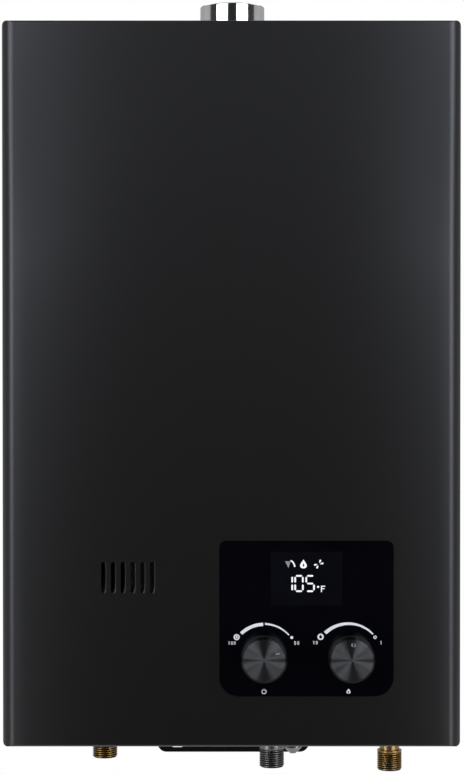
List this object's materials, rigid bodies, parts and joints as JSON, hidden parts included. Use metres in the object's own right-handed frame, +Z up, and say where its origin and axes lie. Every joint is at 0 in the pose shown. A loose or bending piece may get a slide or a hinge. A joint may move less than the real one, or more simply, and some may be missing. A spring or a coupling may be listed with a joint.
{
  "type": "tankless gas water heater",
  "caption": "Wall-hung tankless gas water heater: black sheet casing, gloss control panel with read-out and knobs, round flue collar on top, threaded pipe fittings below.",
  "frame": {"origin": "on the wall plane, at the middle of the casing's width and at the height of the casing's bottom edge", "axes": "+Z up, +Y from the front towards the wall, +X to the right as seen from the front"},
  "size_m": [0.372, 0.1649, 0.6467],
  "materials": {
    "casing_black": "satin",
    "galvanised_steel": "satin",
    "polished_steel": "polished",
    "plain_steel": "satin",
    "brass": "satin",
    "copper": "satin",
    "cast_aluminium": "satin",
    "dark_aluminium": "satin",
    "panel_gloss": "gloss",
    "window_smoke": "gloss",
    "black_plastic": "matte",
    "pale_plastic": "matte",
    "ceramic_white": "gloss",
    "silicone": "matte",
    "gasket_rubber": "matte"
  },
  "bodies": {
    "chassis": {"front_cover": "casing_black", "back_plate": "casing_black", "top_plate": "casing_black", "base_plate": "casing_black", "fan_housing": "galvanised_steel", "smoke_hood": "galvanised_steel", "chamber_brackets": "galvanised_steel", "burner_frame": "galvanised_steel", "flue_collar": "polished_steel", "cover_screws": "plain_steel", "flue_screws": "plain_steel", "electrode_rods": "plain_steel", "gas_pipe": "plain_steel", "gas_inlet": "plain_steel", "burner_bars": "plain_steel", "thermostat": "plain_steel", "drain_plug": "plain_steel", "fan_motor": "plain_steel", "burner_nozzles": "brass", "valve_cap": "brass", "hot_outlet": "brass", "cold_inlet": "brass", "lock_nuts": "brass", "pipe_nuts": "brass", "drain_valve": "brass", "exchanger_fins": "copper", "exchanger_tubes": "copper", "combustion_chamber": "copper", "chamber_coil": "copper", "cold_pipe": "copper", "hot_pipe": "copper", "drain_pipe": "copper", "gas_manifold": "cast_aluminium", "gas_valve_body": "cast_aluminium", "control_panel": "panel_gloss", "display_window": "window_smoke", "gas_solenoid": "black_plastic", "igniter": "black_plastic", "pressure_switch": "black_plastic", "cable_gland": "black_plastic", "display_module": "black_plastic", "power_selector": "black_plastic", "flow_sensor_body": "pale_plastic", "controller_box": "pale_plastic", "controller_lid": "pale_plastic", "electrode_insulators": "ceramic_white", "flue_gasket": "gasket_rubber", "electrode_leads": "silicone", "pressure_hose": "silicone"},
    "power_dial": {"power_knob": "dark_aluminium", "power_spindle": "plain_steel"},
    "gas_dial": {"gas_knob": "dark_aluminium", "gas_spindle": "plain_steel"},
    "fan_rotor": {"fan_impeller": "cast_aluminium", "fan_shaft": "plain_steel"},
    "flow_rotor": {"flow_turbine": "pale_plastic"},
    "plunger": {"gas_plunger": "plain_steel"}
  },
  "joints": [
    {"name": "power_knob_turn", "type": "hinge", "parent": "chassis", "child": "power_dial", "pos_m": [0.0264, -0.1464, 0.0728], "axis": [0, 1, 0], "range_deg": [-120, 0]},
    {"name": "gas_knob_turn", "type": "hinge", "parent": "chassis", "child": "gas_dial", "pos_m": [0.0968, -0.1464, 0.0728], "axis": [0, 1, 0], "range_deg": [-57, 47]},
    {"name": "fan_spin", "type": "hinge", "parent": "chassis", "child": "fan_rotor", "pos_m": [-0.05, -0.067, 0.524], "axis": [0, 1, 0], "continuous": true},
    {"name": "flow_turbine_spin", "type": "hinge", "parent": "chassis", "child": "flow_rotor", "pos_m": [0.134, -0.05, 0.063], "axis": [0, 0, 1], "continuous": true},
    {"name": "gas_plunger_slide", "type": "slide", "parent": "chassis", "child": "plunger", "axis": [0, 0, 1], "range_m": [0, 0.003], "stiffness_N_per_m": 200}
  ]
}
